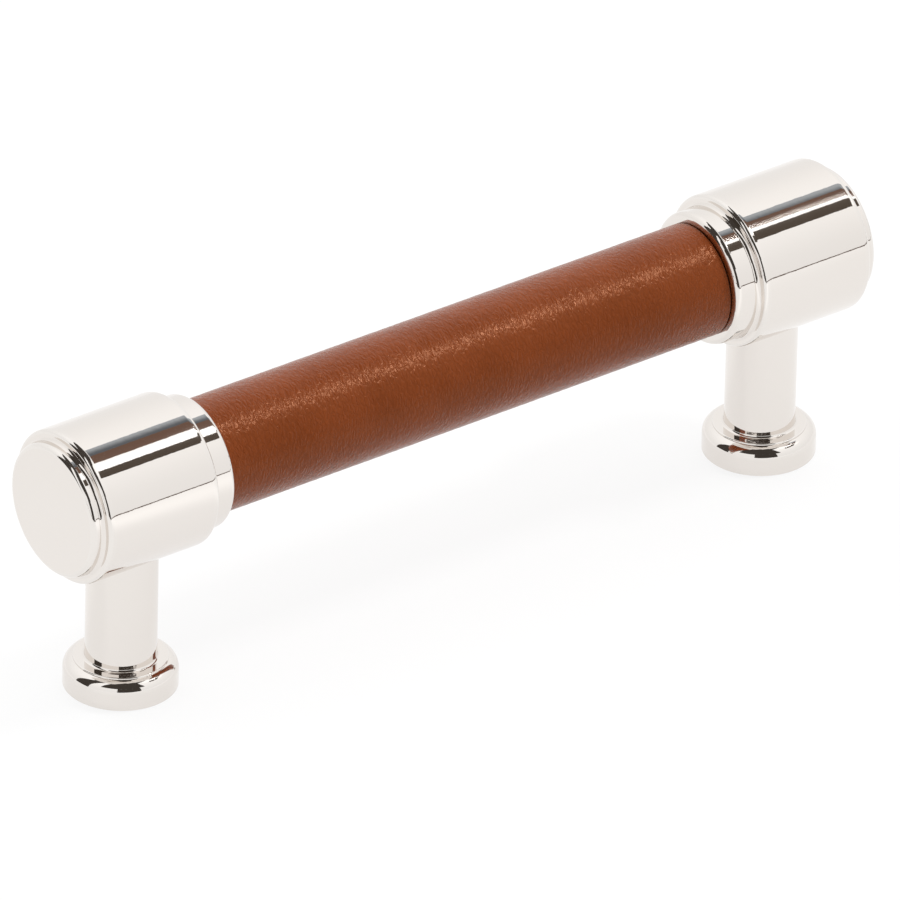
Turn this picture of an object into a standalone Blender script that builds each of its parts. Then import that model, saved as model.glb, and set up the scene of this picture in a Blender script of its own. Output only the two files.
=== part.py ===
"""Cabinet pull: a leather-wrapped bar between two turned barrels, each on a short post.

The bar lies along X and the mounting plane is Z = 0. The origin is midway between the two
screw holes. Lengths are in metres, and a piece's own axis is the one it was turned about.
"""

import math

import bmesh
import bpy
from mathutils import Matrix, Vector

MM = 0.001

# Layout
HOLE_SPACING = 96.0 * MM
BAR_HEIGHT = 27.0 * MM  # mounting plane to the bar's axis

# Bar: a metal core with one sheet of leather wrapped round it
CORE_RADIUS = 5.8 * MM
CORE_CHAMFER = 0.5 * MM
LEATHER_THICKNESS = 1.2 * MM
LEATHER_EDGE = 0.3 * MM  # rounding of the cut ends
LEATHER_SEAM = 0.3 * MM  # width of the butt seam under the bar

# Barrels: a drum with a collar at each end, turned from one piece
BARREL_LENGTH = 21.0 * MM
OUTER_COLLAR_WIDTH = 1.6 * MM
INNER_COLLAR_WIDTH = 3.3 * MM
COLLAR_WALL = 2.45 * MM  # metal round the core
COLLAR_STEP = 1.25 * MM  # how far the drum stands out from its collars
COLLAR_ROUND = 0.4 * MM
COLLAR_COVE = 0.5 * MM
DRUM_ROUND = 0.7 * MM
BORE_END_WALL = 4.5 * MM  # metal left behind the outer face
BORE_CHAMFER = 0.3 * MM
SOCKET_WEB = 1.0 * MM  # metal between the core and the top of the post

# Posts: a stem on a round foot, turned from one piece and tapped right through
STEM_RADIUS = 4.35 * MM
STEM_CHAMFER = 0.3 * MM
STEM_COVE = 0.35 * MM
RING_FLAT = 0.93 * MM  # top of the low ring between the stem and the foot
RING_EDGE = 0.12 * MM
RING_RISE = 0.23 * MM  # how far the ring stands up from the foot's shoulder
FOOT_LEDGE = 1.2 * MM  # how far the foot's wall stands out from the ring
FOOT_SHOULDER = 1.5 * MM
FOOT_WALL = 2.15 * MM  # height of the foot's straight wall
FOOT_EDGE = 0.15 * MM
HOLE_CHAMFER = 0.5 * MM

# M4 thread, drawn plain: holes at their tapping size, studs at their root
TAP_RADIUS = 1.65 * MM
STUD_IN_POST = 6.0 * MM
STUD_IN_CORE = 5.0 * MM
STUD_CHAMFER = 0.4 * MM

# Clearances
FIT_GAP = 0.1 * MM  # all round a piece that is pushed or screwed into another
SEAT_GAP = 0.3 * MM  # at the bottom of a bore or socket
LEATHER_END_GAP = 0.15 * MM  # between the leather's cut end and the collar

# Facets round a full turn
BARREL_SIDES = 56
LEATHER_SIDES = 56
CORE_SIDES = 40
POST_SIDES = 40
STUD_SIDES = 20
ARC_STEPS = 3

# Worked out from the sizes above
POST_X = HOLE_SPACING / 2
BORE_RADIUS = CORE_RADIUS + FIT_GAP
COLLAR_RADIUS = BORE_RADIUS + COLLAR_WALL
BARREL_RADIUS = COLLAR_RADIUS + COLLAR_STEP
BARREL_HALF = BARREL_LENGTH / 2
INNER_FACE_X = POST_X - BARREL_HALF
BORE_END = BARREL_HALF - BORE_END_WALL
CORE_HALF = POST_X + BORE_END - SEAT_GAP
LEATHER_INNER = CORE_RADIUS + FIT_GAP
LEATHER_OUTER = LEATHER_INNER + LEATHER_THICKNESS
LEATHER_HALF = INNER_FACE_X - LEATHER_END_GAP
SOCKET_TOP = BAR_HEIGHT - BORE_RADIUS - SOCKET_WEB
POST_TOP = SOCKET_TOP - SEAT_GAP
RING_RADIUS = STEM_RADIUS + STEM_COVE + RING_FLAT + RING_EDGE
FOOT_RADIUS = RING_RADIUS + FOOT_LEDGE
STUD_RADIUS = TAP_RADIUS - FIT_GAP
STUD_BOTTOM = POST_TOP - STUD_IN_POST
STUD_TOP = BAR_HEIGHT - CORE_RADIUS + STUD_IN_CORE
SHARP_ANGLE = math.radians(32)

# Finishes: colour, roughness, metallic
NICKEL = ("polished_nickel", (0.80, 0.77, 0.73), 0.06, 1.0)
LEATHER = ("saddle_leather", (0.26, 0.075, 0.026), 0.55, 0.0)
ALUMINIUM = ("plain_aluminium", (0.66, 0.67, 0.68), 0.35, 1.0)
STEEL = ("zinc_plated_steel", (0.55, 0.56, 0.57), 0.3, 1.0)


def clear_scene():
    for obj in list(bpy.data.objects):
        bpy.data.objects.remove(obj, do_unlink=True)


def finish(name, colour, roughness, metallic):
    """The material of this name, made the first time it is asked for."""
    material = bpy.data.materials.get(name) or bpy.data.materials.new(name)
    material.use_nodes = True
    shader = material.node_tree.nodes["Principled BSDF"]
    shader.inputs["Base Color"].default_value = (*colour, 1.0)
    shader.inputs["Roughness"].default_value = roughness
    shader.inputs["Metallic"].default_value = metallic
    material.diffuse_color = (*colour, 1.0)
    return material


def arc(centre, radius, start, end, steps=ARC_STEPS):
    """Points on an arc in an outline, angles in degrees from the outline's first direction."""
    points = []
    for i in range(steps + 1):
        angle = math.radians(start + (end - start) * i / steps)
        points.append((centre[0] + radius * math.cos(angle), centre[1] + radius * math.sin(angle)))
    return points


def link(name, bm, material):
    """An object of this bmesh, shaded smooth except at its edges."""
    bmesh.ops.recalc_face_normals(bm, faces=bm.faces)
    mesh = bpy.data.meshes.new(name)
    bm.to_mesh(mesh)
    bm.free()
    mesh.shade_smooth()
    mesh.set_sharp_from_angle(angle=SHARP_ANGLE)
    if material:
        mesh.materials.append(finish(*material))
    obj = bpy.data.objects.new(name, mesh)
    bpy.context.scene.collection.objects.link(obj)
    return obj


def turned(name, outline, sides, material=None):
    """A solid turned about Z. The outline is (height, radius) points: open from axis to axis for a
    solid piece, and a ring that stays clear of the axis for a piece with a hole right through."""
    bm = bmesh.new()
    points = [bm.verts.new((radius, 0, height)) for height, radius in outline]
    edges = [bm.edges.new(pair) for pair in zip(points, points[1:])]
    if outline[0][1] > 0:
        edges.append(bm.edges.new((points[-1], points[0])))
    bmesh.ops.spin(
        bm,
        geom=points + edges,
        cent=(0, 0, 0),
        axis=(0, 0, 1),
        angle=2 * math.pi,
        steps=sides,
        use_merge=True,
    )
    bmesh.ops.remove_doubles(bm, verts=bm.verts, dist=0.001 * MM)
    return link(name, bm, material)


def along_x(obj):
    """Turns a piece made about Z so that its axis is X, with its top towards +X."""
    obj.data.transform(Matrix.Rotation(math.pi / 2, 4, "Y"))
    return obj


def cut(obj, cutter):
    """Takes the cutter's shape out of the piece, and leaves the cutter as a hidden helper."""
    cutter.hide_render = True
    cutter.display_type = "WIRE"
    boolean = obj.modifiers.new("cut_" + cutter.name, "BOOLEAN")
    boolean.operation = "DIFFERENCE"
    boolean.solver = "EXACT"
    boolean.object = cutter


def shoulder(face, side, radius):
    """Drum shoulder down to a collar: rounding, face and cove. Side is +1 where the collar lies
    further along the axis, and the points run from the drum to the collar."""
    rounding = min(DRUM_ROUND, COLLAR_STEP * 0.58)
    cove = min(COLLAR_COVE, COLLAR_STEP - rounding)
    if side > 0:
        drum = arc((face - rounding, radius - rounding), rounding, 90, 0)
        collar = arc((face + cove, COLLAR_RADIUS + cove), cove, 180, 270)
    else:
        drum = arc((face + rounding, radius - rounding), rounding, 90, 180)
        collar = arc((face - cove, COLLAR_RADIUS + cove), cove, 0, -90)
    return drum + collar


def barrel_outline():
    """From the outer face's centre, round the outside, to the bottom of the core's bore."""
    outer_face = BARREL_HALF
    inner_face = -BARREL_HALF
    outer = shoulder(outer_face - OUTER_COLLAR_WIDTH, 1, BARREL_RADIUS)
    inner = shoulder(inner_face + INNER_COLLAR_WIDTH, -1, BARREL_RADIUS)
    edge = COLLAR_RADIUS - COLLAR_ROUND
    return [
        (outer_face, 0),
        *arc((outer_face - COLLAR_ROUND, edge), COLLAR_ROUND, 0, 90),
        *reversed(outer),
        *inner,
        *arc((inner_face + COLLAR_ROUND, edge), COLLAR_ROUND, 90, 180),
        (inner_face, BORE_RADIUS + BORE_CHAMFER),
        (inner_face + BORE_CHAMFER, BORE_RADIUS),
        (BORE_END, BORE_RADIUS),
        (BORE_END, 0),
    ]


def socket_cutter(name, x):
    """The post's socket in the drum's underside, with the stud's clearance hole above it."""
    below = BAR_HEIGHT - BARREL_RADIUS - MM
    hole = TAP_RADIUS + FIT_GAP
    cutter = turned(
        name,
        [
            (below, 0),
            (below, STEM_RADIUS + FIT_GAP),
            (SOCKET_TOP, STEM_RADIUS + FIT_GAP),
            (SOCKET_TOP, hole),
            (BAR_HEIGHT, hole),
            (BAR_HEIGHT, 0),
        ],
        POST_SIDES,
    )
    cutter.location.x = x
    return cutter


def barrel(side, x):
    """One barrel. The right one has its outer face towards +X, and the left one is turned round."""
    obj = along_x(turned(f"{side}_barrel", barrel_outline(), BARREL_SIDES, NICKEL))
    obj.location = (x, 0, BAR_HEIGHT)
    obj.rotation_euler.z = 0 if x > 0 else math.pi
    cut(obj, socket_cutter(f"{side}_socket_cutter", x))
    return obj


def post_outline():
    """A closed outline: the tapped hole, the foot's underside, wall and shoulder, the ring and
    the stem. The shoulder's arc stops where it meets the ring."""
    shoulder_centre = (FOOT_WALL, FOOT_RADIUS - FOOT_SHOULDER)
    sweep = math.acos(1 - min(FOOT_LEDGE, FOOT_SHOULDER) / FOOT_SHOULDER)
    ring_top = FOOT_WALL + FOOT_SHOULDER * math.sin(sweep) + RING_RISE
    edge = min(RING_EDGE, RING_RISE / 2)
    stop = 90 - math.degrees(sweep)
    return [
        (HOLE_CHAMFER, TAP_RADIUS),
        (0, TAP_RADIUS + HOLE_CHAMFER),
        (0, FOOT_RADIUS - FOOT_EDGE),
        (FOOT_EDGE, FOOT_RADIUS),
        *arc(shoulder_centre, FOOT_SHOULDER, 90, stop, 2 * ARC_STEPS),
        *arc((ring_top - edge, RING_RADIUS - edge), edge, 90, 0, 2),
        *arc((ring_top + STEM_COVE, STEM_RADIUS + STEM_COVE), STEM_COVE, 180, 270),
        (POST_TOP - STEM_CHAMFER, STEM_RADIUS),
        (POST_TOP, STEM_RADIUS - STEM_CHAMFER),
        (POST_TOP, TAP_RADIUS + STEM_CHAMFER),
        (POST_TOP - STEM_CHAMFER, TAP_RADIUS),
    ]


def post(side, x):
    obj = turned(f"{side}_post", post_outline(), POST_SIDES, NICKEL)
    obj.location.x = x
    return obj


def stud(side, x):
    """Threaded stud that ties a post to the core through the barrel's web."""
    root = STUD_RADIUS - STUD_CHAMFER
    outline = [
        (STUD_BOTTOM, 0),
        (STUD_BOTTOM, root),
        (STUD_BOTTOM + STUD_CHAMFER, STUD_RADIUS),
        (STUD_TOP - STUD_CHAMFER, STUD_RADIUS),
        (STUD_TOP, root),
        (STUD_TOP, 0),
    ]
    obj = turned(f"{side}_post_stud", outline, STUD_SIDES, STEEL)
    obj.location.x = x
    return obj


def core_rod():
    """The bar's metal core, with a tapped blind hole over each post."""
    rim = CORE_RADIUS - CORE_CHAMFER
    outline = [
        (CORE_HALF, 0),
        (CORE_HALF, rim),
        (CORE_HALF - CORE_CHAMFER, CORE_RADIUS),
        (CORE_CHAMFER - CORE_HALF, CORE_RADIUS),
        (-CORE_HALF, rim),
        (-CORE_HALF, 0),
    ]
    obj = along_x(turned("core_rod", outline, CORE_SIDES, ALUMINIUM))
    obj.location.z = BAR_HEIGHT
    hole = [
        (BAR_HEIGHT - CORE_RADIUS - MM, 0),
        (BAR_HEIGHT - CORE_RADIUS - MM, TAP_RADIUS),
        (STUD_TOP + SEAT_GAP, TAP_RADIUS),
        (STUD_TOP + SEAT_GAP, 0),
    ]
    for side, x in (("left", -POST_X), ("right", POST_X)):
        cutter = turned(f"{side}_core_hole_cutter", hole, STUD_SIDES)
        cutter.location.x = x
        cut(obj, cutter)
    return obj


def leather_sleeve():
    """One sheet wrapped round the core. Its two long edges meet in a butt seam under the bar."""
    section = [
        (-LEATHER_HALF, LEATHER_INNER),
        *arc((LEATHER_EDGE - LEATHER_HALF, LEATHER_OUTER - LEATHER_EDGE), LEATHER_EDGE, 180, 90),
        *arc((LEATHER_HALF - LEATHER_EDGE, LEATHER_OUTER - LEATHER_EDGE), LEATHER_EDGE, 90, 0),
        (LEATHER_HALF, LEATHER_INNER),
    ]
    half_seam = LEATHER_SEAM / 2 / LEATHER_OUTER
    start = Matrix.Rotation(math.pi + half_seam, 4, "X")
    bm = bmesh.new()
    first = [bm.verts.new(start @ Vector((x, 0, radius))) for x, radius in section]
    edges = [bm.edges.new(pair) for pair in zip(first, first[1:] + first[:1])]
    made = bmesh.ops.spin(
        bm,
        geom=first + edges,
        cent=(0, 0, 0),
        axis=(1, 0, 0),
        angle=2 * math.pi - 2 * half_seam,
        steps=LEATHER_SIDES,
    )
    last = [v for v in made["geom_last"] if isinstance(v, bmesh.types.BMVert)]
    bm.faces.new(first)
    bm.faces.new(last)
    obj = link("leather_sleeve", bm, LEATHER)
    obj.location.z = BAR_HEIGHT
    return obj


def main():
    clear_scene()
    pull = bpy.data.objects.new("cabinet_pull", None)
    bpy.context.scene.collection.objects.link(pull)
    pieces = [core_rod(), leather_sleeve()]
    for side, x in (("left", -POST_X), ("right", POST_X)):
        pieces += [barrel(side, x), post(side, x), stud(side, x)]
    for piece in pieces:
        piece.parent = pull


main()
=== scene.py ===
"""Looks of the cabinet pull: polished nickel ends, a leather-wrapped bar and the studio.

Everything is in metres in the part's own frame. The bar lies along X, the mounting plane
is Z = 0, and the two screw holes are at X = -48 mm and X = +48 mm.
"""

import math

import bmesh
import bpy
from mathutils import Euler, Matrix, Vector, noise


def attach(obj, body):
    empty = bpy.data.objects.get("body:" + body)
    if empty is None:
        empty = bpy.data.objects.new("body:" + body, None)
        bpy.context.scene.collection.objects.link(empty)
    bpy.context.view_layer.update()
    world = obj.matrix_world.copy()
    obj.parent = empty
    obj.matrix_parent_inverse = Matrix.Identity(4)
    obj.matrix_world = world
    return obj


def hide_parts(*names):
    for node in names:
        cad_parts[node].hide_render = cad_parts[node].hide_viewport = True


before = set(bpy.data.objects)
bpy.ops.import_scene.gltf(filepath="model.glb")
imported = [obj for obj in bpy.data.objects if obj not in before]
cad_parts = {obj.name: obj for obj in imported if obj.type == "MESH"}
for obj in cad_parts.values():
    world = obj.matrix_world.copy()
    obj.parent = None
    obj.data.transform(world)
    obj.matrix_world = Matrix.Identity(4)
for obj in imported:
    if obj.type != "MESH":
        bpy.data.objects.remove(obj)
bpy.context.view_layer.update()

MM = 0.001

# Sizes of the pull: those of its solids, with edges as buffed and leather ends as cut
POST_X = 48.0 * MM
BAR_HEIGHT = 27.0 * MM
BORE_RADIUS = 5.9 * MM
BORE_DEPTH = 16.5 * MM
BORE_CHAMFER = 0.3 * MM
COLLAR_RADIUS = 8.35 * MM
BARREL_RADIUS = 9.6 * MM
BARREL_HALF = 10.5 * MM
OUTER_COLLAR_WIDTH = 1.6 * MM
INNER_COLLAR_WIDTH = 3.3 * MM
OUTER_ROUND = 0.6 * MM
INNER_ROUND = 0.7 * MM  # the inner collar's end, buffed softer than the outer one
COLLAR_COVE = 0.5 * MM
DRUM_ROUND = 0.45 * MM
DRUM_EASE = 4.5 * MM  # radius of the slight fall that buffing leaves before the rounding
EASE_ANGLE = 6  # degrees that the fall turns through
STEM_RADIUS = 4.35 * MM
STEM_COVE = 0.35 * MM
RING_RADIUS = 5.75 * MM  # the low ring between the stem and the foot
RING_TOP = 3.85 * MM
RING_EDGE = 0.12 * MM
FOOT_RADIUS = 6.95 * MM
FOOT_SHOULDER = 1.5 * MM
FOOT_WALL = 2.15 * MM  # height of the foot's straight wall
FOOT_EDGE = 0.15 * MM
POST_TOP = 19.8 * MM
POST_CHAMFER = 0.3 * MM
SOCKET_TOP = POST_TOP + 0.3 * MM
SOCKET_GAP = 0.03 * MM
TAP_RADIUS = 1.65 * MM
STUD_HOLE_RADIUS = TAP_RADIUS + 0.1 * MM
HOLE_CHAMFER = 0.5 * MM
THREAD_ROOT = 2.0 * MM  # the thread's radius at its deepest
THREAD_OVERLAP = 0.02 * MM  # how far the ridge sinks into the hole's wall
THREAD_FOOT = (0.05 * MM, 0.65 * MM)  # heights between which the first turn's ridge stands
THREAD_CREST = (0.26 * MM, 0.44 * MM)
THREAD_PITCH = 0.7 * MM
THREAD_TURNS = 18
THREAD_SIDES = 28
THREAD_END = 13.5 * MM
LEATHER_INNER = 5.9 * MM
LEATHER_OUTER = 7.1 * MM
LEATHER_HALF = 37.42 * MM
LEATHER_SEAM = 0.3 * MM
LEATHER_EDGE = 0.15 * MM
LEATHER_FLAT = (40.5 * MM, 74.7 * MM)

# Fineness of the turned pieces
BARREL_SIDES = 240
POST_SIDES = 160
ARC_STEPS = 9
HOLD = 0.03 * MM  # rings this close to an arc keep the flats beside it flat
MERGE_DISTANCE = 0.0005 * MM
SHARP_ANGLE = math.radians(28)


class Value:
    """A shader value, with arithmetic that adds Math nodes."""

    def __init__(self, graph, socket):
        self.graph = graph
        self.socket = socket

    def maths(self, operation, *values):
        return self.graph.add("ShaderNodeMath", {"operation": operation}, dict(enumerate(values)))

    def __add__(self, other):
        return self.maths("ADD", self, other)

    def __sub__(self, other):
        return self.maths("SUBTRACT", self, other)

    def __rsub__(self, other):
        return self.maths("SUBTRACT", other, self)

    def __mul__(self, other):
        return self.maths("MULTIPLY", self, other)

    def __truediv__(self, other):
        return self.maths("DIVIDE", self, other)

    def __pow__(self, other):
        return self.maths("POWER", self, other)

    def __abs__(self):
        return self.maths("ABSOLUTE", self)

    def __lt__(self, other):
        return self.maths("LESS_THAN", self, other)

    def __gt__(self, other):
        return self.maths("GREATER_THAN", self, other)

    __radd__ = __add__
    __rmul__ = __mul__


class Graph:
    """The nodes of one material or world."""

    def __init__(self, owner):
        owner.use_nodes = True
        self.owner = owner
        self.tree = owner.node_tree

    def put(self, socket, value):
        if isinstance(value, Value):
            self.tree.links.new(value.socket, socket)
        else:
            socket.default_value = value

    def add(self, kind, settings=None, sockets=None, out=0):
        """A new node: its settings first, then the values or links of its sockets."""
        node = self.tree.nodes.new(kind)
        for name, value in (settings or {}).items():
            setattr(node, name, value)
        for name, value in (sockets or {}).items():
            self.put(node.inputs[name], value)
        return Value(self, node.outputs[out])

    def end(self, kind, shader):
        """The output node, which has no output of its own."""
        self.put(self.tree.nodes.new(kind).inputs[0], shader)

    def axes(self, vector):
        """The three numbers of a vector."""
        return [self.add("ShaderNodeSeparateXYZ", sockets={0: vector}, out=i) for i in range(3)]

    def vector(self, x, y, z):
        return self.add("ShaderNodeCombineXYZ", sockets={0: x, 1: y, 2: z})

    def blend(self, factor, a, b):
        """Colour a where the factor is 0 and b where it is 1."""
        colours = [c if isinstance(c, Value) else (*c, 1.0) for c in (a, b)]
        return self.add(
            "ShaderNodeMix",
            {"data_type": "RGBA"},
            {0: factor, 6: colours[0], 7: colours[1]},
            out=2,
        )

    def ramp(self, value, low, high, to_low=0.0, to_high=1.0):
        """A smooth step from to_low at low to to_high at high."""
        return self.add(
            "ShaderNodeMapRange",
            {"interpolation_type": "SMOOTHSTEP"},
            {0: value, 1: low, 2: high, 3: to_low, 4: to_high},
        )

    def cloud(self, vector, scale, detail=2.0, rough=0.5):
        return self.add(
            "ShaderNodeTexNoise",
            sockets={"Vector": vector, "Scale": scale, "Detail": detail, "Roughness": rough},
        )

    def rays(self, *kinds):
        """1 for rays of these kinds."""
        total = 0.0
        for kind in kinds:
            total = self.add("ShaderNodeLightPath", out=kind) + total
        return total


class Finish(Graph):
    """A material with a Principled shader."""

    def __init__(self, name):
        super().__init__(bpy.data.materials.new(name))
        self.shader = self.tree.nodes["Principled BSDF"]
        self.place = self.add("ShaderNodeTexCoord", out=3)

    def set(self, **sockets):
        for name, value in sockets.items():
            value = (*value, 1.0) if isinstance(value, tuple) else value
            self.put(self.shader.inputs[name.replace("_", " ")], value)

    def relief(self, height, depth):
        """Bump from a height of 0 to 1 that stands for this many metres."""
        bump = self.add("ShaderNodeBump", sockets={"Distance": depth, "Height": height})
        self.put(self.shader.inputs["Normal"], bump)


def arc(centre, radius, start, end, wear=0.0, steps=ARC_STEPS):
    """Outline points on an arc, angles in degrees from the outline's first direction."""
    points = []
    for i in range(steps + 1):
        angle = math.radians(start + (end - start) * i / steps)
        x = centre[0] + radius * math.cos(angle)
        points.append((x, centre[1] + radius * math.sin(angle), wear))
    return points


def held(outline):
    """The outline with a point close to each end of its long straight runs."""
    points = [outline[0]]
    for a, b in zip(outline, outline[1:]):
        run = math.dist(a[:2], b[:2])
        if run > 4 * HOLD:
            for share in (HOLD / run, 1 - HOLD / run):
                points.append((a[0] + (b[0] - a[0]) * share, a[1] + (b[1] - a[1]) * share, 0.0))
        points.append(b)
    return points


def turned(outline, sides):
    """A bmesh turned about Z from (height, radius, wear) points. An outline that starts off the
    axis is closed into a ring."""
    ring = outline[0][1] > 0
    points = held([*outline, outline[0]])[:-1] if ring else held(outline)
    bm = bmesh.new()
    wear = bm.verts.layers.float.new("wear")
    line = []
    for height, radius, worn in points:
        vert = bm.verts.new((radius, 0, height))
        vert[wear] = worn
        line.append(vert)
    edges = [bm.edges.new(pair) for pair in zip(line, line[1:])]
    if ring:
        edges.append(bm.edges.new((line[-1], line[0])))
    bmesh.ops.spin(
        bm,
        geom=line + edges,
        cent=(0, 0, 0),
        axis=(0, 0, 1),
        angle=2 * math.pi,
        steps=sides,
        use_merge=True,
    )
    bmesh.ops.remove_doubles(bm, verts=bm.verts, dist=MERGE_DISTANCE)
    bmesh.ops.recalc_face_normals(bm, faces=bm.faces)
    return bm


def sweep(bm, section, **turn):
    """Spins a closed section of verts and closes its first and its last end."""
    edges = [bm.edges.new(pair) for pair in zip(section, section[1:] + section[:1])]
    spun = bmesh.ops.spin(bm, geom=section + edges, cent=(0, 0, 0), **turn)
    last = [v for v in spun["geom_last"] if isinstance(v, bmesh.types.BMVert)]
    bm.faces.new(section)
    bm.faces.new(last)


def made(name, bm, material=None):
    """An object of this bmesh, smooth except at its edges."""
    mesh = bpy.data.meshes.new(name)
    bm.to_mesh(mesh)
    bm.free()
    mesh.shade_smooth()
    mesh.set_sharp_from_angle(angle=SHARP_ANGLE)
    if material:
        mesh.materials.append(material)
    obj = bpy.data.objects.new(name, mesh)
    bpy.context.scene.collection.objects.link(obj)
    return obj


def stands_for(obj, node):
    """Puts the piece in the place of one of the part's nodes."""
    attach(obj, "root")
    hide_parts(node)


def carve(obj, cutter):
    """Cuts the cutter's shape out of the object's mesh for good."""
    modifier = obj.modifiers.new("carve", "BOOLEAN")
    modifier.object = cutter
    modifier.solver = "EXACT"
    bpy.context.view_layer.update()
    solid = obj.evaluated_get(bpy.context.evaluated_depsgraph_get())
    mesh = bpy.data.meshes.new_from_object(solid)
    obj.modifiers.clear()
    obj.data = mesh
    mesh.name = obj.name
    mesh.set_sharp_from_angle(angle=SHARP_ANGLE)
    bpy.data.objects.remove(cutter)


def shoulder(face, side):
    """Drum shoulder down to a collar: buffed fall, rounding, face and cove, from the drum on."""
    turn = math.radians(EASE_ANGLE)
    reach = DRUM_EASE - DRUM_ROUND
    round_x = face - side * DRUM_ROUND
    ease_x = round_x - side * reach * math.sin(turn)
    ease_radius = BARREL_RADIUS - DRUM_EASE
    round_radius = ease_radius + reach * math.cos(turn)
    bend = 90 - side * EASE_ANGLE
    fall = arc((ease_x, ease_radius), DRUM_EASE, 90, bend, 0.3, 8)
    drum = arc((round_x, round_radius), DRUM_ROUND, bend, 90 - 90 * side, 1.0, 14)
    cove_x = face + side * COLLAR_COVE
    start, end = (180, 270) if side > 0 else (0, -90)
    cove = arc((cove_x, COLLAR_RADIUS + COLLAR_COVE), COLLAR_COVE, start, end)
    return fall[:-1] + drum + cove


def barrel_outline():
    """From the outer face's centre, round the outside, to the bottom of the core's bore."""
    inner_face = -BARREL_HALF
    bore_end = BORE_DEPTH - BARREL_HALF
    outer_edge = (BARREL_HALF - OUTER_ROUND, COLLAR_RADIUS - OUTER_ROUND)
    return [
        (BARREL_HALF, 0, 0),
        *arc(outer_edge, OUTER_ROUND, 0, 90, 1.0),
        *reversed(shoulder(BARREL_HALF - OUTER_COLLAR_WIDTH, 1)),
        *shoulder(inner_face + INNER_COLLAR_WIDTH, -1),
        *arc((inner_face + INNER_ROUND, COLLAR_RADIUS - INNER_ROUND), INNER_ROUND, 90, 180, 1.0),
        (inner_face, BORE_RADIUS + BORE_CHAMFER, 1.0),
        (inner_face + BORE_CHAMFER, BORE_RADIUS, 0),
        (bore_end, BORE_RADIUS, 0),
        (bore_end, 0, 0),
    ]


def barrel(side, x, nickel):
    """A turned barrel with the socket for its post and the stud's hole cut into it."""
    bm = turned(barrel_outline(), BARREL_SIDES)
    turn = Euler((0, math.pi / 2, 0 if x > 0 else math.pi)).to_matrix().to_4x4()
    place = Matrix.Translation((x, 0, BAR_HEIGHT)) @ turn
    bmesh.ops.transform(bm, matrix=place, verts=bm.verts)
    obj = made(f"{side}_nickel_barrel", bm, nickel)
    below = BAR_HEIGHT - BARREL_RADIUS - MM
    radius = STEM_RADIUS + SOCKET_GAP
    socket = turned(
        [
            (below, 0, 0),
            (below, radius, 0),
            (SOCKET_TOP, radius, 0),
            (SOCKET_TOP, STUD_HOLE_RADIUS, 0),
            (BAR_HEIGHT, STUD_HOLE_RADIUS, 0),
            (BAR_HEIGHT, 0, 0),
        ],
        POST_SIDES,
    )
    bmesh.ops.translate(socket, vec=(x, 0, 0), verts=socket.verts)
    carve(obj, made("socket_cutter", socket))
    stands_for(obj, f"{side}_barrel")


def post_outline():
    """A closed outline: the tapped hole, the foot's underside, wall and shoulder, the ring and
    the stem. The shoulder's arc stops where it meets the ring."""
    middle = FOOT_RADIUS - FOOT_SHOULDER
    stop = math.degrees(math.asin((RING_RADIUS - middle) / FOOT_SHOULDER))
    mouth = TAP_RADIUS + HOLE_CHAMFER
    return [
        (mouth - THREAD_ROOT, THREAD_ROOT, 0),
        (0, mouth, 0),
        *arc((FOOT_EDGE, FOOT_RADIUS - FOOT_EDGE), FOOT_EDGE, 180, 90, 1.0, 5),
        *arc((FOOT_WALL, middle), FOOT_SHOULDER, 90, stop, 0.4, 24),
        *arc((RING_TOP - RING_EDGE, RING_RADIUS - RING_EDGE), RING_EDGE, 90, 0, 1.0, 6),
        *arc((RING_TOP + STEM_COVE, STEM_RADIUS + STEM_COVE), STEM_COVE, 180, 270),
        (POST_TOP - POST_CHAMFER, STEM_RADIUS, 0),
        (POST_TOP, STEM_RADIUS - POST_CHAMFER, 0),
        (POST_TOP, TAP_RADIUS + POST_CHAMFER, 0),
        (POST_TOP - POST_CHAMFER, TAP_RADIUS, 0),
        (THREAD_END, TAP_RADIUS, 0),
        (THREAD_END, THREAD_ROOT, 0),
    ]


def cut_thread(bm):
    """The M4 thread that the cabinet's screw turns into: a ridge that climbs the hole's wall, with
    the countersink's slope taken off its first turn."""
    root = THREAD_ROOT + THREAD_OVERLAP
    section = [
        (THREAD_FOOT[0], root),
        (THREAD_CREST[0], TAP_RADIUS),
        (THREAD_CREST[1], TAP_RADIUS),
        (THREAD_FOOT[1], root),
    ]
    old = set(bm.verts)
    sweep(
        bm,
        [bm.verts.new((radius, 0, height)) for height, radius in section],
        axis=(0, 0, 1),
        dvec=(0, 0, THREAD_PITCH / THREAD_SIDES),
        angle=2 * math.pi * THREAD_TURNS,
        steps=THREAD_SIDES * THREAD_TURNS,
    )
    for vert in set(bm.verts) - old:
        radius = math.hypot(vert.co.x, vert.co.y)
        slope = TAP_RADIUS + HOLE_CHAMFER - vert.co.z
        if radius < slope:
            vert.co.x *= slope / radius
            vert.co.y *= slope / radius
    bmesh.ops.recalc_face_normals(bm, faces=bm.faces)


def post(side, x, nickel):
    """A turned post with its tapped hole."""
    bm = turned(post_outline(), POST_SIDES)
    cut_thread(bm)
    bmesh.ops.translate(bm, vec=(x, 0, 0), verts=bm.verts)
    obj = made(f"{side}_nickel_post", bm, nickel)
    stands_for(obj, f"{side}_post")


# Leather: its mesh, grain and seam
GRAIN_ALONG = 520  # mesh rings along the bar
GRAIN_ROUND = 160
GRAIN_DEPTH = 0.025 * MM
END_CALM = 0.6 * MM  # the grain fades this close to the cut ends
SEAM_CALM = 0.4 * MM  # and this close to the seam
SEAM_GRAIN = 0.15  # share of the grain that is left at the seam
SEAM_DIP = 0.22 * MM
SEAM_REACH = 0.5 * MM  # how far from the seam its edges start to dip


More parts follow.
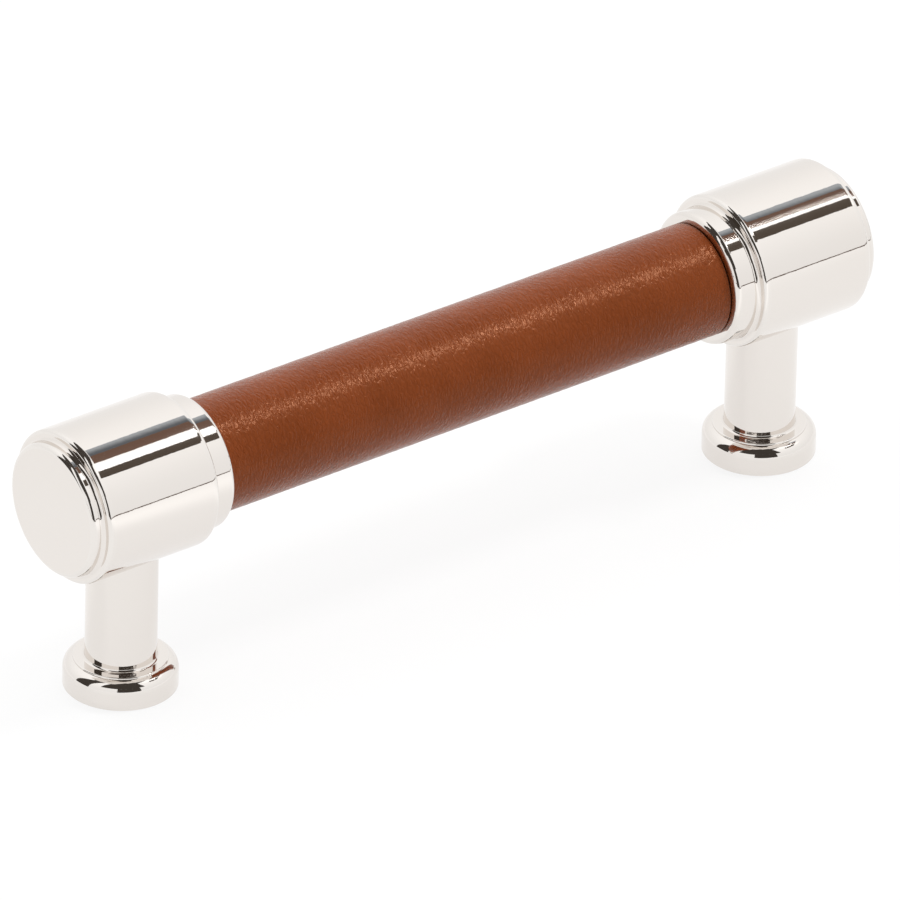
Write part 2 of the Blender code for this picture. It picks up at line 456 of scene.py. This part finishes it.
def hide_height(x, around):
    """Height of the grain at a point of the sheet: short creases across the bar, with soft pebbles
    between them. Both lengths are in metres, x along the bar."""
    drift = noise.noise(Vector((x * 320, around * 210, 7.3))) * 0.35 * MM
    crease = noise.noise(Vector(((x + drift) * 2100, around * 1200, 0)))
    pebble = noise.noise(Vector((x * 1250, around * 1000, 4.1)))
    return 0.8 * crease + 0.6 * pebble


def sleeve_section():
    """The sheet's thickness cut along the bar: (x, radius) points with both ends rounded."""
    step = 2 * (LEATHER_HALF - LEATHER_EDGE) / GRAIN_ALONG
    top = LEATHER_OUTER - LEATHER_EDGE
    first = LEATHER_EDGE - LEATHER_HALF
    return [
        (-LEATHER_HALF, LEATHER_INNER),
        *[p[:2] for p in arc((first, top), LEATHER_EDGE, 180, 90, 0, 5)],
        *[(first + step * i, LEATHER_OUTER) for i in range(1, GRAIN_ALONG)],
        *[p[:2] for p in arc((LEATHER_HALF - LEATHER_EDGE, top), LEATHER_EDGE, 90, 0, 0, 5)],
        (LEATHER_HALF, LEATHER_INNER),
    ]


def lay_flat(bm):
    """A UV map of the sheet laid flat. At the seam each face keeps to its own side."""
    sheet_uv = bm.loops.layers.uv.new("sheet")
    length = LEATHER_FLAT[1]
    for face in bm.faces:
        middle = face.calc_center_median()
        for loop in face.loops:
            co = loop.vert.co
            turn = math.atan2(co.y, co.z)
            if abs(turn) > 3 and turn * middle.y < 0:
                turn = -turn
            loop[sheet_uv].uv = (co.x / length + 0.5, turn / (2 * math.pi) + 0.5)


def press_grain(bm):
    """Raises the grain on the outer side and dips the edges along the seam."""
    for vert in bm.verts:
        radius = math.hypot(vert.co.y, vert.co.z)
        if radius < LEATHER_INNER + LEATHER_EDGE:
            continue
        turn = math.atan2(vert.co.y, vert.co.z)
        seam = (math.pi - abs(turn)) * LEATHER_OUTER - LEATHER_SEAM / 2
        end = LEATHER_HALF - abs(vert.co.x)
        calm = min(1.0, end / END_CALM) * min(1.0, seam / SEAM_CALM + SEAM_GRAIN)
        rise = hide_height(vert.co.x, turn * LEATHER_OUTER) * GRAIN_DEPTH * calm
        rise -= SEAM_DIP * max(0.0, 1 - seam / SEAM_REACH) ** 2
        scale = (radius + rise) / radius
        vert.co.y *= scale
        vert.co.z *= scale


def leather_sleeve(leather):
    """One sheet wrapped round the core. Its long edges meet in a butt seam under the bar."""
    half_seam = LEATHER_SEAM / 2 / LEATHER_OUTER
    start = Matrix.Rotation(math.pi + half_seam, 4, "X")
    bm = bmesh.new()
    sweep(
        bm,
        [bm.verts.new(start @ Vector((x, 0, radius))) for x, radius in sleeve_section()],
        axis=(1, 0, 0),
        angle=2 * math.pi - 2 * half_seam,
        steps=GRAIN_ROUND,
    )
    bmesh.ops.recalc_face_normals(bm, faces=bm.faces)
    lay_flat(bm)
    press_grain(bm)
    bmesh.ops.translate(bm, vec=(0, 0, BAR_HEIGHT), verts=bm.verts)
    obj = made("leather_wrap", bm, leather)
    stands_for(obj, "leather_sleeve")


# Colours and depths of the finishes
NICKEL_DEEP = (0.79, 0.745, 0.70)
NICKEL_PALE = (0.815, 0.775, 0.74)
NICKEL_WORN = (0.85, 0.83, 0.80)
NICKEL_DEPTH = 0.0035 * MM
UNDERSIDE = 0.1 * MM  # the feet have turning rings below this height
HIDE_DEEP = (0.205, 0.042, 0.0085)
HIDE_PALE = (0.238, 0.051, 0.012)
# painted highlight: the colour that makes the grain's crests paler
HIDE_CREST_HIGHLIGHT = (0.30, 0.078, 0.025)
# painted shade: the colour that darkens the valleys between the grain's pebbles
HIDE_VALLEY_SHADE = (0.11, 0.022, 0.005)
HIDE_CUT = (0.11, 0.03, 0.012)  # the burnished cut ends
HIDE_SHEEN = (1.0, 0.45, 0.22)
HIDE_DEPTH = 0.085 * MM
ALUMINIUM = ((0.60, 0.61, 0.62), (0.72, 0.73, 0.74))
STEEL = ((0.50, 0.51, 0.53), (0.62, 0.62, 0.60))


def nickel_finish():
    """Polished nickel plate: a warm mirror with faint buffing marks and softer, paler edges."""
    nickel = Finish("polished_nickel")
    worn = nickel.add("ShaderNodeAttribute", {"attribute_name": "wear"}, out=2)
    haze = nickel.cloud(nickel.place, 160, 3)
    tint = nickel.cloud(nickel.place, 45, 2)
    colour = nickel.blend(tint, NICKEL_DEEP, NICKEL_PALE)
    nickel.set(Base_Color=nickel.blend(worn * 0.3, colour, NICKEL_WORN))
    nickel.set(Metallic=1.0, Roughness=0.025 + haze * 0.03 + worn * 0.03)
    wave = nickel.cloud(nickel.place, 1300, 1)
    marks = nickel.cloud(
        nickel.add("ShaderNodeMapping", sockets={0: nickel.place, 3: (1, 12, 12)}), 900, 2
    )
    x, y, z = nickel.axes(nickel.place)
    across = abs(x) - POST_X
    radius = (across * across + y * y) ** 0.5
    rings = nickel.cloud(nickel.vector(radius, 0.0, 0.0), 9000, 2) * (z < UNDERSIDE)
    nickel.relief(wave * 0.7 + marks * 0.04 + rings * 0.5, NICKEL_DEPTH)
    return nickel.owner


def leather_finish():
    """Saddle leather: brown body, satin, with pebbles and fine creases; a painted highlight makes
    the crests paler and painted shade makes the valleys between the pebbles darker.
    """
    leather = Finish("saddle_leather")
    width, length = (size / MM for size in LEATHER_FLAT)
    u, v, _ = leather.axes(leather.add("ShaderNodeUVMap", {"uv_map": "sheet"}))
    along = u * length
    around = v * width
    flat = leather.vector(along, around, 0.0)
    drift = leather.cloud(flat, 1.3, 2)
    cross = leather.vector(along * 2.1 + drift * 1.2, around + drift * 0.8, 0.0)
    mottle = leather.cloud(flat, 0.12, 3)
    crease = leather.cloud(cross, 1.4, 2)
    valley_distance = leather.add(
        "ShaderNodeTexVoronoi", {"feature": "DISTANCE_TO_EDGE"}, {"Vector": cross, "Scale": 1.0}
    )
    pebble = leather.ramp(valley_distance, 0.0, 0.28)
    body = leather.blend(leather.ramp(mottle, 0.3, 0.7), HIDE_DEEP, HIDE_PALE)
    # Painted highlight: the raised crests of the grain are made paler.
    body = leather.blend(leather.ramp(crease, 0.52, 0.8, 0.0, 0.35), body, HIDE_CREST_HIGHLIGHT)
    # Painted shade: the valleys at the edges of the pebbles are made darker.
    body = leather.blend(leather.ramp(valley_distance, 0.0, 0.12, 0.25, 0.0), body, HIDE_VALLEY_SHADE)
    burnish = leather.ramp(abs(along - length / 2), 37.1, 37.4)
    leather.set(Base_Color=leather.blend(burnish * 0.4, body, HIDE_CUT))
    leather.set(Roughness=0.24 + mottle * 0.06 - pebble * 0.03)
    leather.set(Specular_IOR_Level=0.36, Specular_Tint=HIDE_SHEEN)
    leather.relief(crease * 0.7 + pebble * 0.3, HIDE_DEPTH)
    return leather.owner


def aluminium_finish():
    """Drawn aluminium bar with fine lines along its length."""
    bar = Finish("drawn_aluminium")
    stretched = bar.add("ShaderNodeMapping", sockets={0: bar.place, 3: (0.03, 1, 1)})
    lines = bar.cloud(stretched, 5000, 3)
    bar.set(
        Base_Color=bar.blend(lines, *ALUMINIUM),
        Metallic=1.0,
        Roughness=0.28 + lines * 0.15,
    )
    bar.relief(lines, 0.004 * MM)
    return bar.owner


def steel_finish():
    """Zinc-plated steel with turning marks round it."""
    stud = Finish("zinc_steel")
    rings = stud.add("ShaderNodeMapping", sockets={0: stud.place, 3: (0.05, 0.05, 1)})
    turns = stud.cloud(rings, 6000, 2)
    patina = stud.cloud(stud.place, 900, 3)
    stud.set(
        Base_Color=stud.blend(patina, *STEEL),
        Metallic=1.0,
        Roughness=0.25 + patina * 0.2,
    )
    stud.relief(turns, 0.006 * MM)
    return stud.owner


# Studio: the ceiling and walls that the nickel mirrors, and the lamp
CEILING = 1.1
LAMP_POWER = 4.4
LAMP_SIZE = (0.30, 0.07)
LAMP_PLACE = (0.70, -0.290, CEILING + 0.03)  # above the white gap between two flags
CARD_DISTANCE = 1.3
CARD_STEPS = 8
FLOOR_RADIUS = 1.2
FLOOR_DROP = 0.05 * MM  # keeps the floor clear of the feet
FLOOR_GREY = (0.8, 0.79, 0.78)
# painted highlight: the floor glows brighter than white towards this way, for mirrors only
POOL_WAY = (0.225, -0.974)  # direction in which mirrors see the floor brighter
WHITE = (1.0, 1.0, 1.0)
LAMP_WHITE = (1.3, 1.3, 1.3)
BLACK = (0.055, 0.047, 0.041)
DIM = (0.095, 0.075, 0.060)
BROWN = (0.175, 0.105, 0.078)
SLATE = (0.13, 0.14, 0.155)
PALE_SLATE = (0.44, 0.475, 0.51)
HORIZON = (0.10, 0.055, 0.038)
HORIZON_RISES = (-0.05, -0.004)  # between these heights of a unit direction


def flag(name, bm, colour, fading=False):
    """A card that only mirrors see. A fading one pales towards the back."""
    card = Graph(bpy.data.materials.new(name))
    card.tree.nodes.clear()
    glow = (*colour, 1.0)
    if fading:
        x, y, _ = card.axes(card.add("ShaderNodeTexCoord", out=3))
        glow = card.blend(card.ramp(y + (x - 0.633) * 0.9, 0.05, 0.25), colour, PALE_SLATE)
    card.end("ShaderNodeOutputMaterial", card.add("ShaderNodeEmission", sockets={"Color": glow}))
    obj = made(name, bm, card.owner)
    obj.visible_camera = obj.visible_diffuse = obj.visible_shadow = False
    obj.visible_transmission = obj.visible_volume_scatter = False


def overhead(name, corners, colour, rise=0.0, fading=False):
    """A flat card under the ceiling."""
    bm = bmesh.new()
    bm.faces.new([bm.verts.new((x, y, CEILING + rise)) for x, y in corners])
    flag(name, bm, colour, fading)


def wall(name, azimuths, elevations, colour):
    """A curved card round the pull, between two azimuths from -Y and two elevations."""
    low, high = (math.radians(e) for e in elevations)
    first, last = (math.radians(a) for a in azimuths)
    bm = bmesh.new()
    line = []
    for i in range(CARD_STEPS + 1):
        e = low + (high - low) * i / CARD_STEPS
        out, up = CARD_DISTANCE * math.cos(e), CARD_DISTANCE * math.sin(e)
        line.append(bm.verts.new((0, -out, up)))
    edges = [bm.edges.new(pair) for pair in zip(line, line[1:])]
    bmesh.ops.rotate(bm, verts=line, cent=(0, 0, 0), matrix=Matrix.Rotation(first, 3, "Z"))
    bmesh.ops.spin(
        bm,
        geom=line + edges,
        cent=(0, 0, 0),
        axis=(0, 0, 1),
        angle=last - first,
        steps=CARD_STEPS,
    )
    flag(name, bm, colour)


def flags():
    """The ceiling's bands lie where both drums mirror them, and the rest serves the feet. Each
    band's edges step between the strips that the left and the right drum see."""
    near = [(0.54, -0.727), (0.775, -0.727), (0.815, -0.648), (0.95, -0.648)]
    far = [(0.95, -0.331), (0.735, -0.331), (0.693, -0.459), (0.54, -0.459)]
    overhead("front_flag", near + far, DIM)
    near = [(0.54, -0.193), (0.65, -0.193), (0.71, -0.231), (0.95, -0.231)]
    far = [(0.95, -0.004), (0.695, -0.004), (0.645, 0.052), (0.54, 0.052)]
    overhead("back_flag", near + far, BROWN)
    end = [(0.54, 0.283), (0.665, 0.283), (0.705, 0.185), (0.95, 0.185)]
    overhead("slate_flag", end + far, SLATE, fading=True)
    front = [(-0.90, -0.19), (-0.80, -0.46), (-0.64, -0.66), (-0.32, -0.87), (0.0, -0.92)]
    right = [(0.19, -0.90), (0.16, -0.43), (0.39, -0.23), (0.50, 0.0), (0.50, 0.70)]
    left = [(-0.48, 0.38), (-0.60, 0.08), (-0.39, 0.04), (-0.39, -0.08)]
    overhead("left_flag", front + right + left, BLACK)
    lamp_corners = [(0.3, -0.60), (1.2, -0.60), (1.2, -0.2), (0.3, -0.2)]
    overhead("lamp_card", lamp_corners, LAMP_WHITE, 0.01)
    wall("low_front_card", (-44, 1), (0, 31), BLACK)
    wall("high_front_card", (-78, 12), (31, 52), BLACK)
    wall("side_card", (-127, -98), (0, 62), BLACK)


def floor():
    """White where the camera or a mirror sees it, with the pull's shadow and a painted highlight
    that only mirrors see, and clear from below.
    """
    bm = bmesh.new()
    bmesh.ops.create_circle(bm, cap_ends=True, segments=96, radius=FLOOR_RADIUS)
    bmesh.ops.translate(bm, vec=(0, 0, -FLOOR_DROP), verts=bm.verts)
    pale = Graph(bpy.data.materials.new("pale_floor"))
    pale.tree.nodes.clear()
    shown = pale.rays("Is Camera Ray", "Is Glossy Ray", "Is Transmission Ray")
    under = pale.add("ShaderNodeNewGeometry", out="Backfacing")
    through = pale.add("ShaderNodeLightPath", out="Transparent Depth") > 0.5
    colour = pale.blend(shown, FLOOR_GREY, WHITE)
    sheet = pale.add("ShaderNodeBsdfDiffuse", sockets={"Color": colour})
    x, y, _ = pale.axes(pale.add("ShaderNodeTexCoord", out=3))
    # Painted highlight: a patch of floor that glows brighter than white, seen only by mirrors,
    # where no lamp lights it.
    facing = (x * POOL_WAY[0] + y * POOL_WAY[1]) / ((x * x + y * y) ** 0.5 + 0.001)
    pool = facing.maths("MAXIMUM", facing, 0.0) ** 16
    mirrored = 1.0 - pale.add("ShaderNodeLightPath", out="Is Camera Ray")
    white = pale.add(
        "ShaderNodeEmission",
        sockets={"Color": (1, 1, 1, 1), "Strength": 1.0 + pool * mirrored * 0.24},
    )
    sheet = pale.add("ShaderNodeMixShader", sockets={0: shown * 0.8, 1: sheet, 2: white})
    clear = pale.add("ShaderNodeBsdfTransparent")
    factor = under.maths("MAXIMUM", under, through)
    pale.end(
        "ShaderNodeOutputMaterial",
        pale.add("ShaderNodeMixShader", sockets={0: factor, 1: sheet, 2: clear}),
    )
    obj = made("floor", bm, pale.owner)


def studio_sky():
    """White behind the pull, pale walls with a brown horizon in mirrors, and soft light from above
    and behind for everything else."""
    world = bpy.data.worlds.new("studio")
    bpy.context.scene.world = world
    sky = Graph(world)
    sky.tree.nodes.clear()
    _, y, z = sky.axes(sky.add("ShaderNodeTexCoord", out="Generated"))
    seen = sky.add("ShaderNodeLightPath", out="Is Camera Ray")
    mirror = sky.rays("Is Glossy Ray", "Is Transmission Ray")
    horizon = (z > HORIZON_RISES[0]) * (z < HORIZON_RISES[1]) * (y < 0) * mirror
    walls = 1.0 + z * z * 0.24
    soft = 0.22 + 1.2 * z + 0.55 * y
    strength = seen + mirror * walls + (1 - seen - mirror) * soft.maths("MAXIMUM", soft, 0.1)
    colour = sky.blend(horizon, WHITE, HORIZON)
    sky.end(
        "ShaderNodeOutputWorld",
        sky.add("ShaderNodeBackground", sockets={"Color": colour, "Strength": strength}),
    )


def strip_lamp():
    """The lamp that makes the bright band along the leather."""
    lamp = bpy.data.lights.new("strip_lamp", "AREA")
    lamp.shape = "RECTANGLE"
    lamp.size, lamp.size_y = LAMP_SIZE
    lamp.energy = LAMP_POWER
    obj = bpy.data.objects.new("strip_lamp", lamp)
    obj.location = LAMP_PLACE
    aim = Vector((0, 0, BAR_HEIGHT)) - obj.location
    obj.rotation_mode = "QUATERNION"
    obj.rotation_quaternion = aim.to_track_quat("-Z", "Y")
    bpy.context.scene.collection.objects.link(obj)


# Camera: where the photograph was taken from
CAMERA_AZIMUTH = math.radians(-37.730)
CAMERA_ELEVATION = math.radians(30.092)
CAMERA_ROLL = math.radians(1.374)
CAMERA_DISTANCE = 2.646
CAMERA_LENS = 885.9
CAMERA_SENSOR = 36
CAMERA_CLIP = (0.05, 20)
PIVOT_HEIGHT = 27.5 * MM  # the camera's angles are taken about this height
AIM_RIGHT = 0.3365 * MM
AIM_DOWN = 10.121 * MM


def camera():
    """The photo's camera, aimed a little beside and below the pivot."""
    a, e = CAMERA_AZIMUTH, CAMERA_ELEVATION
    back = Vector((math.sin(a) * math.cos(e), -math.cos(a) * math.cos(e), math.sin(e)))
    level = Vector((math.cos(a), math.sin(a), 0))
    rise = back.cross(level)
    right = level * math.cos(CAMERA_ROLL) + rise * math.sin(CAMERA_ROLL)
    up = rise * math.cos(CAMERA_ROLL) - level * math.sin(CAMERA_ROLL)
    pivot = Vector((0, 0, PIVOT_HEIGHT))
    eye = pivot + back * CAMERA_DISTANCE
    aim = pivot + right * AIM_RIGHT - up * AIM_DOWN
    forward = (eye - aim).normalized()
    side = up.cross(forward).normalized()
    top = forward.cross(side)
    data = bpy.data.cameras.new("photo_camera")
    data.sensor_width = CAMERA_SENSOR
    data.lens = CAMERA_LENS
    data.clip_start, data.clip_end = CAMERA_CLIP
    obj = bpy.data.objects.new("photo_camera", data)
    turn = Matrix((side, top, forward)).transposed().to_4x4()
    obj.matrix_world = Matrix.Translation(eye) @ turn
    bpy.context.scene.collection.objects.link(obj)
    bpy.context.scene.camera = obj


def refinish(node, material):
    """Gives a carried-over solid its material."""
    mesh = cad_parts[node].data
    mesh.materials.clear()
    mesh.materials.append(material)


def main():
    bpy.context.scene.view_settings.view_transform = "Standard"
    nickel = nickel_finish()
    for side, x in (("left", -POST_X), ("right", POST_X)):
        barrel(side, x, nickel)
        post(side, x, nickel)
    leather_sleeve(leather_finish())
    refinish("core_rod", aluminium_finish())
    steel = steel_finish()
    for side in ("left", "right"):
        refinish(f"{side}_post_stud", steel)
    floor()
    flags()
    studio_sky()
    strip_lamp()
    camera()


main()
